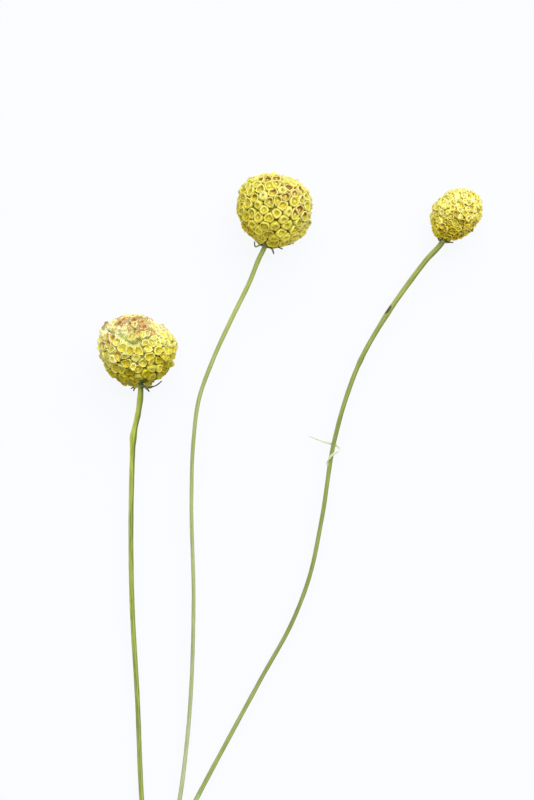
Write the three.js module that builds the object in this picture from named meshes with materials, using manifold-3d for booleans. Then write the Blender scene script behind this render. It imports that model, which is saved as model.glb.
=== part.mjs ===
// A cut, branched flower stem with three ball-shaped, rayless heads, lying on a table.
//
// One shoot divides twice into three long bare stalks. Each stalk flares into a small receptacle
// with narrow bracts turned back under the head, and carries a ball of packed tubular florets.
// The left head is the oldest and loosest, and the right one is young, small and half in bud.
//
// Millimetres. X runs across the spray, Y along it from the cut end to the heads, and Z up from
// the table, which is z = 0. The origin is the centre of the footprint.

import * as THREE from "three";
import { ConvexHull } from "three/addons/math/ConvexHull.js";
import { mergeVertices } from "three/addons/utils/BufferGeometryUtils.js";
import Module from "manifold-3d";

const wasm = await Module();
wasm.setup();

// Driving dimensions
const HEAD_ACROSS = 13.1; // a full-grown head, over its florets
const YOUNG_HEAD_ACROSS = 8.7; // the youngest head, which is a little longer than wide
const CUT_STEM_ACROSS = 1.2; // the shoot where it was cut
const BLADE_THICK = 0.6; // bracts and leaves, thicker than life so that they hold together
const GAP = 0.3; // between the florets and the green of the plant
const PRESS = 0.3; // how far a head's lowest florets are flattened where it lies

const GOLDEN_ANGLE = Math.PI * (3 - Math.sqrt(5));
const ASKEW = new THREE.Vector3(0.3, 0.5, 0.8); // along no floret

// Materials
const finish = (color, roughness) => new THREE.MeshStandardMaterial({ color, roughness, metalness: 0 });
const OLD_FLORETS = finish(0xd9c24a, 0.7);
const FULL_FLORETS = finish(0xd6cc4e, 0.7);
const YOUNG_FLORETS = finish(0xd8b92f, 0.7);
const GREEN = finish(0x9ba852, 0.6);

// Heads. lean turns a head's axis to the right of +Y and rise lifts it from the table, in
// degrees. stand is how far the florets stand out of the core, ragged is how much that varies,
// and open is the share of them that have opened into a cup. They start from evenly spread
// places that are each shifted by a share of their width, jostle, and then settle towards the
// middle of the room they have, settle times. Each bract is [turn round the stalk, reach, droop]:
// the turn is 0 on the head's right and 90 on top, the reach is how far up the head it goes, both
// in degrees, and the droop is how far its tip hangs off the head, in mm.
const HEADS = {
  left: {
    centre: [-26.1, 38.75],
    across: HEAD_ACROSS,
    deep: 0.91 * HEAD_ACROSS,
    lean: -6,
    rise: 12,
    florets: 155,
    stand: 1.5,
    ragged: 0.3,
    jostle: 0.9,
    settle: 2,
    open: 0.92,
    material: OLD_FLORETS,
    seed: 11,
    bracts: [
      [8, 34, 0],
      [48, 21, 0.9],
      [92, 27, 0.2],
      [128, 18, 1.0],
      [174, 22, 0.4],
      [215, 30, 0],
      [262, 24, 0.2],
      [318, 28, 0.1],
    ],
  },
  middle: {
    centre: [-2.8, 62.6],
    across: 0.985 * HEAD_ACROSS,
    deep: 0.96 * HEAD_ACROSS,
    lean: 14,
    rise: 10,
    florets: 150,
    stand: 1.35,
    ragged: 0.15,
    jostle: 0.8,
    settle: 3,
    open: 0.85,
    material: FULL_FLORETS,
    seed: 5,
    bracts: [
      [4, 45, 0],
      [40, 27, 0.2],
      [66, 18, 1.3],
      [118, 24, 0.2],
      [172, 17, 0.5],
      [222, 30, 0],
      [270, 26, 0.1],
      [322, 33, 0],
    ],
  },
  right: {
    centre: [28.25, 61.8],
    across: YOUNG_HEAD_ACROSS,
    deep: 1.07 * YOUNG_HEAD_ACROSS,
    lean: 26,
    rise: 8,
    florets: 205,
    stand: 0.75,
    ragged: 0.1,
    jostle: 0.8,
    settle: 4,
    open: 0.5,
    material: YOUNG_FLORETS,
    seed: 23,
    bracts: [
      [2, 44, 0],
      [55, 32, 0],
      [110, 24, 0],
      [168, 20, 0],
      [235, 30, 0],
      [300, 36, 0],
    ],
  },
};

// Rings of a floret's top, outermost first: share of the way from its middle to its corners, and
// height above its rim, as a share of its width, when it is a cup and while it is a bud
const FULL_RINGS = [
  { share: 0.82, cup: 0, bud: -0.12 },
  { share: 0.56, cup: -0.08, bud: 0.08 },
];
const YOUNG_RINGS = [{ share: 0.72, cup: 0, bud: 0 }];
const CUP_DEPTH = 0.5;
const BUD_HEIGHT = 0.12;
const BARE_ANGLE = 22; // no florets grow this close round the stalk, in degrees

// The receptacle, which the florets' core sits on, and its bracts
const RECEPTACLE_RADIUS = 0.95;
const RECEPTACLE_BEVEL = 0.15;
const RECEPTACLE_SIDES = 10;
const STALK_FLARE = 1.25; // times the stalk's radius, halfway into the receptacle
const BRACT_ROOT = 12; // where a bract leaves the hollow round the stalk, in degrees
const BRACT_WIDE = 0.8; // at the root
const BRACT_TIP = 0.3; // of that width is left at the tip
const BRACT_BEND = 0.25; // of the droop is reached halfway along

// A repeatable random number from 0 to 1 at each call, by a linear congruential generator
function seeded(seed) {
  let state = seed;
  return () => {
    state = (Math.imul(state, 1664525) + 1013904223) >>> 0;
    return state / 2 ** 32;
  };
}

// A flat-shaded geometry from a list of coordinates and of corner numbers
function facets(coordinates, corners) {
  const geometry = new THREE.BufferGeometry()
    .setAttribute("position", new THREE.BufferAttribute(new Float32Array(coordinates), 3))
    .setIndex(Array.from(corners))
    .toNonIndexed();
  geometry.computeVertexNormals();
  return geometry;
}

// Joins closed geometries into one solid
function joined(geometries) {
  const solids = geometries.map((geometry) => {
    const bare = geometry.clone();
    bare.deleteAttribute("normal");
    bare.deleteAttribute("uv");
    const merged = mergeVertices(bare);
    const vertProperties = merged.attributes.position.array;
    const triVerts = new Uint32Array(merged.index.array);
    return new wasm.Manifold(new wasm.Mesh({ numProp: 3, vertProperties, triVerts }));
  });
  const mesh = solids.reduce((whole, solid) => whole.add(solid)).getMesh();
  return facets(mesh.vertProperties, mesh.triVerts);
}

// A closed bar along a smooth curve through the points. size(t) gives the section's two half
// widths for t from 0 to 1 along the curve. The first of them lies in the direction across,
// which a round bar can leave out.
function sweep(points, { steps, sides, across, size }) {
  const curve = new THREE.CatmullRomCurve3(points);
  const { normals } = curve.computeFrenetFrames(steps);
  const coordinates = [];
  const corners = [];
  for (let i = 0; i <= steps; i++) {
    const along = i / steps;
    const centre = curve.getPointAt(along);
    const tangent = curve.getTangentAt(along);
    const wide = (across ?? normals[i]).clone().projectOnPlane(tangent).normalize();
    const thick = new THREE.Vector3().crossVectors(tangent, wide);
    const [halfWide, halfThick] = size(along);
    for (let j = 0; j < sides; j++) {
      const turn = (2 * Math.PI * j) / sides;
      const point = centre
        .clone()
        .addScaledVector(wide, halfWide * Math.cos(turn))
        .addScaledVector(thick, halfThick * Math.sin(turn));
      coordinates.push(...point.toArray());
    }
  }
  for (let i = 0; i < steps; i++) {
    for (let j = 0; j < sides; j++) {
      const a = i * sides + j;
      const b = i * sides + ((j + 1) % sides);
      corners.push(a, b, b + sides, a, b + sides, a + sides);
    }
  }
  const last = steps * sides;
  for (let j = 1; j < sides - 1; j++) {
    corners.push(0, j + 1, j, last, last + j, last + j + 1);
  }
  return facets(coordinates, corners);
}

// Directions on a golden-angle spiral from the tip (+Y) of a ball to its base, each of them
// shifted at random
function spiral({ florets, jostle }, random) {
  const pitch = Math.sqrt((4 * Math.PI) / florets);
  const shift = () => (random() - 0.5) * jostle * pitch;
  return Array.from({ length: florets }, (_, i) => {
    const height = 1 - (2 * i + 1) / florets;
    const ring = Math.sqrt(1 - height * height);
    const turn = i * GOLDEN_ANGLE;
    const direction = new THREE.Vector3(ring * Math.cos(turn), height, ring * Math.sin(turn));
    return direction.add(new THREE.Vector3(shift(), shift(), shift())).normalize();
  });
}

// The cell round each direction. The hull of the directions is their nearest-neighbour net, and
// the middle of each of its faces is a corner where cells meet. Returns those corners, and each
// cell's ring of corner numbers, counter-clockwise from outside.
function cells(directions) {
  const number = new Map(directions.map((direction, i) => [direction, i]));
  const hull = new ConvexHull().setFromPoints(directions);
  const rings = directions.map(() => []);
  const meetings = hull.faces.map((face, i) => {
    let edge = face.edge;
    do {
      rings[number.get(edge.head().point)].push(i);
      edge = edge.next;
    } while (edge !== face.edge);
    return face.normal.clone().normalize();
  });
  rings.forEach((ring, i) => {
    const aside = ASKEW.clone().cross(directions[i]).normalize();
    const ahead = new THREE.Vector3().crossVectors(directions[i], aside);
    const turn = (k) => Math.atan2(meetings[k].dot(ahead), meetings[k].dot(aside));
    ring.sort((a, b) => turn(a) - turn(b));
  });
  return { meetings, rings };
}

// The florets' directions: the spiral's, each moved to the middle of its cell a few times
function packed(head, random) {
  let directions = spiral(head, random);
  for (let i = 0; i < head.settle; i++) {
    const { meetings, rings } = cells(directions);
    directions = rings.map((ring) =>
      ring.reduce((sum, k) => sum.add(meetings[k]), new THREE.Vector3()).normalize()
    );
  }
  return directions;
}

// A ball of packed florets in its own frame, with its axis along +Y. Every cell is a tube that
// stands out of the core, with a cup or a bud on top. onTable is the frame's place.
function floretBall(head, onTable) {
  const random = seeded(head.seed);
  const half = new THREE.Vector3(head.across, head.deep, head.across).multiplyScalar(0.5);
  const topRings = head.across > YOUNG_HEAD_ACROSS ? FULL_RINGS : YOUNG_RINGS;
  const directions = packed(head, random);
  const { meetings, rings } = cells(directions);
  const pitch = Math.sqrt((4 * Math.PI * half.x * half.y) / head.florets);
  const bareBelow = -Math.cos(THREE.MathUtils.degToRad(BARE_ANGLE));
  const offTable = onTable.clone().invert();
  const coordinates = [];
  const corners = [];

  // Adds a point at a direction and a height above the ball, never under the table
  function point(direction, height) {
    const place = half.clone().multiply(direction).addScaledVector(direction, height);
    place.applyMatrix4(onTable);
    place.z = Math.max(place.z, 0);
    place.applyMatrix4(offTable);
    return coordinates.push(...place.toArray()) / 3 - 1;
  }

  const grooves = meetings.map((direction) => point(direction, -head.stand));
  directions.forEach((direction, i) => {
    const ring = rings[i];
    const next = (j) => (j + 1) % ring.length;
    let outer = ring.map((k) => grooves[k]);
    if (direction.y < bareBelow) {
      for (let j = 1; j < ring.length - 1; j++) {
        corners.push(outer[0], outer[j], outer[j + 1]);
      }
      return;
    }
    const pressed = half.clone().multiply(direction).applyMatrix4(onTable).z < PRESS;
    const form = random() < head.open ? "cup" : "bud";
    const lift = (random() - 0.5) * head.ragged * head.stand;
    for (const topRing of topRings) {
      const height = pressed ? 0 : lift + topRing[form] * pitch;
      const inner = ring.map((k) =>
        point(direction.clone().lerp(meetings[k], topRing.share).normalize(), height)
      );
      inner.forEach((_, j) => {
        corners.push(outer[j], outer[next(j)], inner[next(j)], outer[j], inner[next(j)], inner[j]);
      });
      outer = inner;
    }
    const rise = form === "cup" ? -CUP_DEPTH : BUD_HEIGHT;
    const middle = point(direction, pressed ? 0 : lift + rise * pitch);
    outer.forEach((corner, j) => corners.push(corner, outer[next(j)], middle));
  });
  return facets(coordinates, corners);
}

// The receptacle and its bracts in the head's frame, as closed geometries to be joined
function receptacle(head, stalkRadius) {
  const halfAcross = head.across / 2;
  const halfDeep = head.deep / 2;
  const top = halfDeep - head.stand + GAP;
  const profile = [
    [0, -halfDeep - GAP],
    [stalkRadius, -halfDeep - GAP],
    [STALK_FLARE * stalkRadius, -halfDeep + GAP],
    [RECEPTACLE_RADIUS, -top - RECEPTACLE_BEVEL],
    [RECEPTACLE_RADIUS - RECEPTACLE_BEVEL, -top],
    [0, -top],
  ].map(([x, y]) => new THREE.Vector2(x, y));
  const flare = new THREE.LatheGeometry(profile, RECEPTACLE_SIDES);

  // A point under the head, at an angle from the stalk and a height off the florets
  function under(degrees, height) {
    const angle = THREE.MathUtils.degToRad(degrees);
    const surface = 1 / Math.hypot(Math.sin(angle) / halfAcross, Math.cos(angle) / halfDeep);
    return [(surface + height) * Math.sin(angle), -(surface + height) * Math.cos(angle)];
  }

  const clear = GAP + BLADE_THICK / 2;
  const bracts = head.bracts.map(([turn, reach, droop]) => {
    const angle = THREE.MathUtils.degToRad(turn);
    const out = new THREE.Vector3(Math.cos(angle), 0, Math.sin(angle));
    const path = [
      [0, -halfDeep + GAP],
      under(BRACT_ROOT, clear),
      under((BRACT_ROOT + reach) / 2, clear + BRACT_BEND * droop),
      under(reach, clear + droop),
    ];
    const points = path.map(([r, y]) => new THREE.Vector3(r * out.x, y, r * out.z));
    return sweep(points, {
      steps: 5,
      sides: 4,
      across: new THREE.Vector3(-out.z, 0, out.x),
      size: (t) => [(BRACT_WIDE / 2) * (1 - (1 - BRACT_TIP) * t), BLADE_THICK / 2],
    });
  });
  return [flare, ...bracts];
}

// Stalks. Each route runs from where the stalk begins to its last point below the head, and
// radii are spread evenly along it.
const FORK_LOW = [-23.9, -55.5, 0.75];
const FORK_HIGH = [-20.65, -46.7, 1.0];
const STALKS = {
  left: {
    route: [
      [-23.0, -69.0, CUT_STEM_ACROSS / 2],
      FORK_LOW,
      [-24.6, -48.2, 0.85],
      [-25.4, -37.5, 1.2],
      [-26.1, -20.7, 1.8],
      [-27.0, -3.7, 2.6],
      [-27.1, 13.3, 3.4],
      [-26.9, 20.1, 3.8],
      [-26.7, 24.2, 4.1],
      [-25.8, 28.6, 4.4],
    ],
    radii: [CUT_STEM_ACROSS / 2, 0.42, 0.4, 0.42, 0.43, 0.48],
    steps: 36,
  },
  middle: {
    route: [
      FORK_LOW,
      FORK_HIGH,
      [-18.85, -37.5, 1.4],
      [-17.6, -27.5, 1.8],
      [-16.5, -3.7, 2.8],
      [-16.85, 13.3, 3.4],
      [-16.5, 23.5, 3.8],
      [-15.6, 30.3, 4.1],
      [-13.2, 37.1, 4.4],
      [-10.1, 43.9, 4.7],
      [-6.8, 50.7, 5.0],
      [-5.45, 54.1, 5.05],
    ],
    radii: [0.48, 0.34, 0.32, 0.32, 0.36, 0.42],
    steps: 38,
  },
  right: {
    route: [
      FORK_HIGH,
      [-15.9, -37.5, 1.3],
      [-5.05, -17.3, 1.9],
      [0.5, -7.1, 2.2],
      [3.1, -0.25, 2.4],
      [5.3, 9.9, 2.6],
      [7.5, 23.5, 2.9],
      [9.35, 30.3, 3.0],
      [11.95, 37.1, 3.1],
      [15.8, 43.9, 3.2],
      [20.5, 50.7, 3.3],
      [23.1, 54.1, 3.25],
    ],
    radii: [0.4, 0.35, 0.34, 0.36, 0.4, 0.47],
    steps: 38,
  },
};
const STALK_SIDES = 8;

function stalk({ route, radii, steps }, top) {
  const spans = radii.length - 1;
  const radius = (t) => {
    const before = Math.min(Math.floor(t * spans), spans - 1);
    return THREE.MathUtils.lerp(radii[before], radii[before + 1], t * spans - before);
  };
  const points = [...route.map((p) => new THREE.Vector3(...p)), top];
  return sweep(points, {
    steps,
    sides: STALK_SIDES,
    size: (t) => [radius(t), radius(t)],
  });
}

// The leaf at the upper fork, and a dried thread of a leaf that grows from the right stalk and
// winds once round it. The routes run from inside the stalk to the tip.
const LEAVES = [
  {
    route: [
      FORK_HIGH,
      [-19.95, -45.4, 1.7],
      [-17.95, -41.4, 2.2],
      [-15.55, -36.9, 2.3],
    ],
    across: new THREE.Vector3(-0.87, 0.5, 0),
    wide: 1.2,
    steps: 8,
    sides: 4,
  },
  {
    route: [
      [6.65, 18.4, 2.75],
      [6.3, 19.5, 3.1],
      [6.75, 20.6, 3.65],
      [7.45, 21.2, 3.75],
      [8.1, 21.55, 3.3],
      [8.35, 22.0, 2.7],
      [7.95, 22.5, 2.1],
      [7.2, 22.75, 1.8],
      [6.6, 22.95, 1.85],
      [5.0, 23.5, 2.1],
      [3.15, 24.2, 2.5],
    ],
    wide: BLADE_THICK,
    steps: 22,
    sides: 5,
  },
];

function leaf({ route, across, wide, steps, sides }) {
  const slim = BLADE_THICK / 2;
  return sweep(
    route.map((p) => new THREE.Vector3(...p)),
    {
      steps,
      sides,
      across,
      size: (t) => [slim + (wide / 2 - slim) * Math.sin(Math.PI * t), slim],
    }
  );
}

const spray = new THREE.Group();
const greens = LEAVES.map(leaf);
for (const [name, head] of Object.entries(HEADS)) {
  const { across, deep, centre, material } = head;
  const lean = THREE.MathUtils.degToRad(head.lean);
  const rise = THREE.MathUtils.degToRad(head.rise);
  const toTable = Math.hypot((across / 2) * Math.cos(rise), (deep / 2) * Math.sin(rise));
  const place = new THREE.Group();
  place.position.set(...centre, toTable - PRESS);
  place.rotation.set(rise, 0, -lean, "ZYX");
  place.updateMatrixWorld();

  const florets = new THREE.Mesh(floretBall(head, place.matrixWorld), material);
  florets.name = `${name}_head_florets`;
  place.add(florets);
  spray.add(place);

  const stalkRadius = STALKS[name].radii.at(-1);
  const base = new THREE.Vector3(0, -deep / 2, 0).applyMatrix4(place.matrixWorld);
  greens.push(stalk(STALKS[name], base));
  for (const geometry of receptacle(head, stalkRadius)) {
    greens.push(geometry.applyMatrix4(place.matrixWorld));
  }
}

const green = new THREE.Mesh(joined(greens), GREEN);
green.name = "leafy_stem";
spray.add(green);

export default spray;
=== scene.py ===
"""A cut, branched flower stem with three ball-shaped heads of tubular florets, laid on a table.

One shoot divides twice into three long stalks. Each stalk flares under its head and turns narrow
bracts back there. The left head is old and loose with dried tips, the middle one is full grown,
and the right one is young and half in bud. It all grew as one part and rides on one body.
Sizes are written in millimetres and turned to metres. +Y runs from the cut end to the heads, and
Z is up from the table.
"""

import bpy
import numpy as np
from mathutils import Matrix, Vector


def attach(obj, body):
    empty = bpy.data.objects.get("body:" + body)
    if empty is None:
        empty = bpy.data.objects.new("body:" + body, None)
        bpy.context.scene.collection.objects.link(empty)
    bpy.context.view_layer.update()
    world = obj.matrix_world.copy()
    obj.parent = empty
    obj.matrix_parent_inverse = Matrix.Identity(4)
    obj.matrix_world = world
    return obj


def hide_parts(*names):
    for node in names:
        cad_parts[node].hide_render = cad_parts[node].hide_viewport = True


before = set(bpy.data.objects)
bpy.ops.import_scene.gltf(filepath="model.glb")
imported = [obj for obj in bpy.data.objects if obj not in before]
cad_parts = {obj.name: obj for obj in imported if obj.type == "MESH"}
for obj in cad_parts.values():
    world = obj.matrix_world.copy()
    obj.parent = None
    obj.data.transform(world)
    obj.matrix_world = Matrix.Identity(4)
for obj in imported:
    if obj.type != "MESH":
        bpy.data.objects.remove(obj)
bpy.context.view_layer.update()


# Stalks
# Each is a solid rod of living green stem, finely ribbed along its length. They grow from one cut
# shoot that forks twice, and each swells into the seat that carries its head's florets.

MM = 0.001
PRESS = 0.3  # how far a head's lowest florets are flattened where it lies
GAP = 0.3  # between the outermost florets and the green under a head

# Across and deep are a head's solid from side to side and from stalk to tip. Lean turns its axis
# to the right of +Y and rise lifts it from the table, in degrees. Stand is how far its florets
# stand out of the core. Seen from the camera it is an oval, long by short, whose long way lies
# slant degrees to the right of the axis.
HEADS = {
    "left": {
        "centre": (-26.1, 38.75),
        "across": 13.1,
        "deep": 11.9,
        "lean": -6,
        "rise": 12,
        "stand": 1.5,
        "long": 13.4,
        "short": 12.0,
        "slant": -63,
    },
    "middle": {
        "centre": (-2.8, 62.6),
        "across": 12.9,
        "deep": 12.6,
        "lean": 14,
        "rise": 10,
        "stand": 1.35,
        "long": 13.2,
        "short": 12.5,
        "slant": -75,
    },
    "right": {
        "centre": (28.1, 61.8),
        "across": 8.7,
        "deep": 9.3,
        "lean": 26,
        "rise": 8,
        "stand": 0.75,
        "long": 10.0,
        "short": 8.0,
        "slant": 18,
    },
}

FORK_LOW = (-23.9, -55.5, 0.75)
FORK_HIGH = (-20.65, -46.7, 1.0)
# Each route runs from where the stalk begins to its last point below the head, and the radii are
# spread evenly along it. The skins are the light and the dark green of its streaks, at its foot
# and its top. Shade is painted light and shade: how much lighter its left side is painted at the
# top, and how much darker its right one. A knob is (y, height, half length) of a place where it
# swells all round. The scar lies at a y, so many degrees from the left side towards the camera.
STALKS = {
    "left": {
        "route": [
            (-23.0, -69.0, 0.6),
            FORK_LOW,
            (-24.6, -48.2, 0.85),
            (-25.4, -37.5, 1.2),
            (-26.1, -20.7, 1.8),
            (-27.0, -3.7, 2.6),
            (-27.1, 13.3, 3.4),
            (-26.9, 20.1, 3.8),
            (-26.7, 24.2, 4.1),
            (-25.8, 28.6, 4.4),
        ],
        "radii": [0.6, 0.42, 0.4, 0.42, 0.43, 0.48],
        "foot_skin": (0xAFB760, 0x76873E),
        "top_skin": (0xC4CE4E, 0x64742A),
        "shade": 0.9,
        "knobs": [(30.4, 0.07, 0.7), (24.0, 0.14, 1.3), (27.6, 0.06, 0.5)],
        "scar": None,
    },
    "middle": {
        "route": [
            FORK_LOW,
            FORK_HIGH,
            (-18.85, -37.5, 1.4),
            (-17.6, -27.5, 1.8),
            (-16.5, -3.7, 2.8),
            (-16.85, 13.3, 3.4),
            (-16.5, 23.5, 3.8),
            (-15.6, 30.3, 4.1),
            (-13.2, 37.1, 4.4),
            (-10.1, 43.9, 4.7),
            (-6.8, 50.7, 5.0),
            (-5.45, 54.1, 5.05),
        ],
        "radii": [0.48, 0.34, 0.32, 0.32, 0.36, 0.42],
        "foot_skin": (0xCAD0A6, 0x9AA676),
        "top_skin": (0xB4BE62, 0x859342),
        "shade": 0.0,
        "knobs": [],
        "scar": None,
    },
    "right": {
        "route": [
            FORK_HIGH,
            (-15.9, -37.5, 1.3),
            (-5.05, -17.3, 1.9),
            (0.5, -7.1, 2.2),
            (3.1, -0.25, 2.4),
            (5.3, 9.9, 2.6),
            (7.5, 23.5, 2.9),
            (9.35, 30.3, 3.0),
            (11.95, 37.1, 3.1),
            (15.8, 43.9, 3.2),
            (20.5, 50.7, 3.3),
            (23.1, 54.1, 3.25),
        ],
        "radii": [0.4, 0.35, 0.34, 0.36, 0.4, 0.47],
        "foot_skin": (0xB0BA6C, 0x76873E),
        "top_skin": (0xA4AD52, 0x6C7A32),
        "shade": 0.35,
        "knobs": [(44.9, 0.05, 0.8), (37.0, 0.06, 0.5)],
        "scar": {"at": 45.5, "side": 35},
    },
}
STALK_SIDES = 24
RING_SPACING = 0.5
FINE_SPACING = 0.12
FINE_LENGTH = 4.0  # of the stalk below its head
WAVES = ((0.02, 0.9, 0), (0.015, 2.3, 1))  # of the radius: share of it, radians a mm, start
RIBS = 6
RIB_HEIGHT = 0.05  # times the stalk's radius
RIB_TWIST = 0.02  # radians a mm
# Painted shade: the grooves between the ribs are painted darker and the crests lighter.
RIB_LIGHT = 0.24
SHADE_RISE = 4  # the power of the height with which the shade grows
SKIN_RADIUS = 0.45  # of the rod that the streaks are painted on
SKIN_STRETCH = 12  # how much longer than wide the streaks are
STREAK_WIDE = 0.22
PATCH_WIDE = 2.5
PITH = 0xD9DDB0
SCAR_BROWN = 0x484806
SCAR_LONG = 0.75
FLARE = 1.25  # times the stalk's radius, just inside the head's outline
# Painted shade: the skin darkens from the head's outline into the seat inside the head.
SEAT_SHADE = 0.6
SEAT_RADIUS = 0.95
SEAT_BEVEL = 0.15


def linear(srgb_hex):
    """An sRGB colour, given as a hex number, as linear red, green, blue and alpha: each channel
    is divided by 12.92 where it is dark, and raised to 2.4 after the sRGB offset elsewhere."""
    channels = np.array([srgb_hex >> 16 & 255, srgb_hex >> 8 & 255, srgb_hex & 255]) / 255
    light = np.where(channels <= 0.04045, channels / 12.92, ((channels + 0.055) / 1.055) ** 2.4)
    return (*light.tolist(), 1.0)


def add_node(tree, kind, settings=None, links=None, stops=None):
    """Adds one shader node. Settings are its properties. Links give its inputs, by name or
    number, each a plain value or another node's output. A map range takes its value in 0, the
    range that it comes from in 1 and 2, and the one that it goes to in 3 and 4. A mix of colours
    takes its share in 0 and its colours in 6 and 7. Stops are a colour ramp's places and sRGB
    colours."""
    node = tree.nodes.new(kind)
    for key, value in (settings or {}).items():
        setattr(node, key, value)
    for key, value in (links or {}).items():
        if isinstance(value, bpy.types.NodeSocket):
            tree.links.new(value, node.inputs[key])
        else:
            node.inputs[key].default_value = value
    if stops:
        for place, _ in stops[2:]:
            node.color_ramp.elements.new(place)
        for element, (place, colour) in zip(node.color_ramp.elements, sorted(stops)):
            element.position = place
            element.color = linear(colour)
    return node


def unit(vectors):
    """Each vector divided by its own length."""
    return vectors / np.linalg.norm(vectors, axis=-1, keepdims=True)


def placed(head, points):
    """Points of a head's own frame, in mm, in the row's frame. In its own frame +Y runs from the
    stalk to the tip and +Z faces the camera. The points are turned up about X by the rise, turned
    right about Z by the lean, and moved to the centre, whose height is the ball's own half height
    less what the table flattens."""
    rise, lean = np.radians(head["rise"]), np.radians(head["lean"])
    half_height = np.hypot(head["across"] / 2 * np.cos(rise), head["deep"] / 2 * np.sin(rise))
    x, y, z = np.moveaxis(np.asarray(points, float), -1, 0)
    forward = y * np.cos(rise) - z * np.sin(rise)
    up = y * np.sin(rise) + z * np.cos(rise)
    right = x * np.cos(lean) + forward * np.sin(lean)
    onward = forward * np.cos(lean) - x * np.sin(lean)
    return np.stack([right, onward, up], -1) + np.array([*head["centre"], half_height - PRESS])


def ball(head):
    """The matrix that turns a unit ball into a head's shape: it stretches the head's plane by half
    the long way along the slant and by half the short way across it, and the rest by half of
    across."""
    slant = np.radians(head["slant"])
    turned = np.array([[np.cos(slant), np.sin(slant)], [-np.sin(slant), np.cos(slant)]])
    shape = np.eye(3) * head["across"] / 2
    shape[:2, :2] = turned @ np.diag([head["short"] / 2, head["long"] / 2]) @ turned.T
    return shape


def surface(head, directions):
    """How far the head's outline is from its centre in each direction, which is one over the
    length of the direction brought back to the unit ball."""
    return 1 / np.linalg.norm(directions @ np.linalg.inv(ball(head)), axis=-1)


def walked(points):
    """The distance from the first point to each point, along the straight lines between them."""
    return np.concatenate([[0], np.cumsum(np.linalg.norm(np.diff(points, axis=0), axis=1))])


def smooth_line(points, at):
    """The places at the given distances along a smooth line through the points. Between two
    points it is the cubic that starts and ends with their slopes, and a point's slope is that of
    the parabola through it and its two neighbours."""
    points = np.asarray(points, float)
    along = walked(points)
    slopes = np.gradient(points, along, axis=0)
    before = np.clip(np.searchsorted(along, at, side="right") - 1, 0, len(along) - 2)
    span = (along[before + 1] - along[before])[:, None]
    t = (at - along[before])[:, None] / span
    start = (2 * t**3 - 3 * t**2 + 1) * points[before] + (t**3 - 2 * t**2 + t) * span * slopes[before]
    end = (3 * t**2 - 2 * t**3) * points[before + 1] + (t**3 - t**2) * span * slopes[before + 1]
    return start + end


def tube(line, wide, thick, sides, up):
    """A profile carried along a line. At each place of the line and each turn round it, the point
    is the place, plus the half width times the turn's cosine sideways, plus the half thickness
    times its sine upwards. Sideways is square to the line and to up."""
    ahead = unit(np.gradient(line, axis=0))
    sideways = unit(np.cross(up, ahead))
    upwards = np.cross(ahead, sideways)
    turn = np.linspace(0, 2 * np.pi, sides, endpoint=False)
    shape = (len(line), sides)
    wide, thick = (np.broadcast_to(np.reshape(size, (len(line), -1)), shape) for size in (wide, thick))
    return (
        line[:, None]
        + (wide * np.cos(turn))[..., None] * sideways[:, None]
        + (thick * np.sin(turn))[..., None] * upwards[:, None]
    )


def closed(grid, first, last):
    """Rings of values, with one more value for each of the two poles that close them. The first
    axis counts the shells, the next two their rings and sides."""
    shells, rings, sides = grid.shape[:3]
    rest = grid.shape[3:]
    flat = grid.reshape(shells, rings * sides, *rest)
    poles = [np.broadcast_to(np.asarray(pole, float), (shells, *rest))[:, None] for pole in (first, last)]
    return np.concatenate([flat, *poles], axis=1)


def make_piece(name, parts, material, node):
    """Makes one mesh of closed shells. Each part holds points in mm, as closed gives them, its
    numbers of rings and sides, and its values by name for each point. Four points of two
    neighbouring rings make a face, and each end ring is joined to its pole by triangles."""
    points, faces, values, used = [], [], {}, 0
    for part in parts:
        shells, size = part["points"].shape[:2]
        rings, sides = part["rings"], part["sides"]
        i, j = np.meshgrid(np.arange(rings - 1), np.arange(sides), indexing="ij")
        beside = (j + 1) % sides
        ring = i * sides
        quads = np.stack([ring + j, ring + beside, ring + sides + beside, ring + sides + j], -1)
        side = np.arange(sides)
        next_side = (side + 1) % sides
        last_ring = (rings - 1) * sides
        bottom = np.stack([np.full(sides, rings * sides), next_side, side], -1)
        top = np.stack([np.full(sides, rings * sides + 1), last_ring + side, last_ring + next_side], -1)
        starts = used + size * np.arange(shells)[:, None, None]
        for corners in (quads.reshape(-1, 4), bottom, top):
            faces += (starts + corners[None]).reshape(-1, corners.shape[1]).tolist()
        for key, value in part["values"].items():
            values.setdefault(key, []).append(value.reshape(shells * size, -1))
        points.append(part["points"].reshape(-1, 3) * MM)
        used += shells * size
    points = np.concatenate(points)
    points[:, 2] = np.maximum(points[:, 2], 0)
    mesh = bpy.data.meshes.new(name)
    mesh.from_pydata(points.tolist(), [], faces)
    for key, value in values.items():
        value = np.concatenate(value)
        kind, field = ("FLOAT", "value") if value.shape[1] == 1 else ("FLOAT_VECTOR", "vector")
        mesh.attributes.new(key, kind, "POINT").data.foreach_set(field, value.ravel())
    mesh.shade_smooth()
    mesh.materials.append(material)
    made = bpy.data.objects.new(name, mesh)
    bpy.context.scene.collection.objects.link(made)
    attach(made, "root")
    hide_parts(node)
    return made


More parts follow.
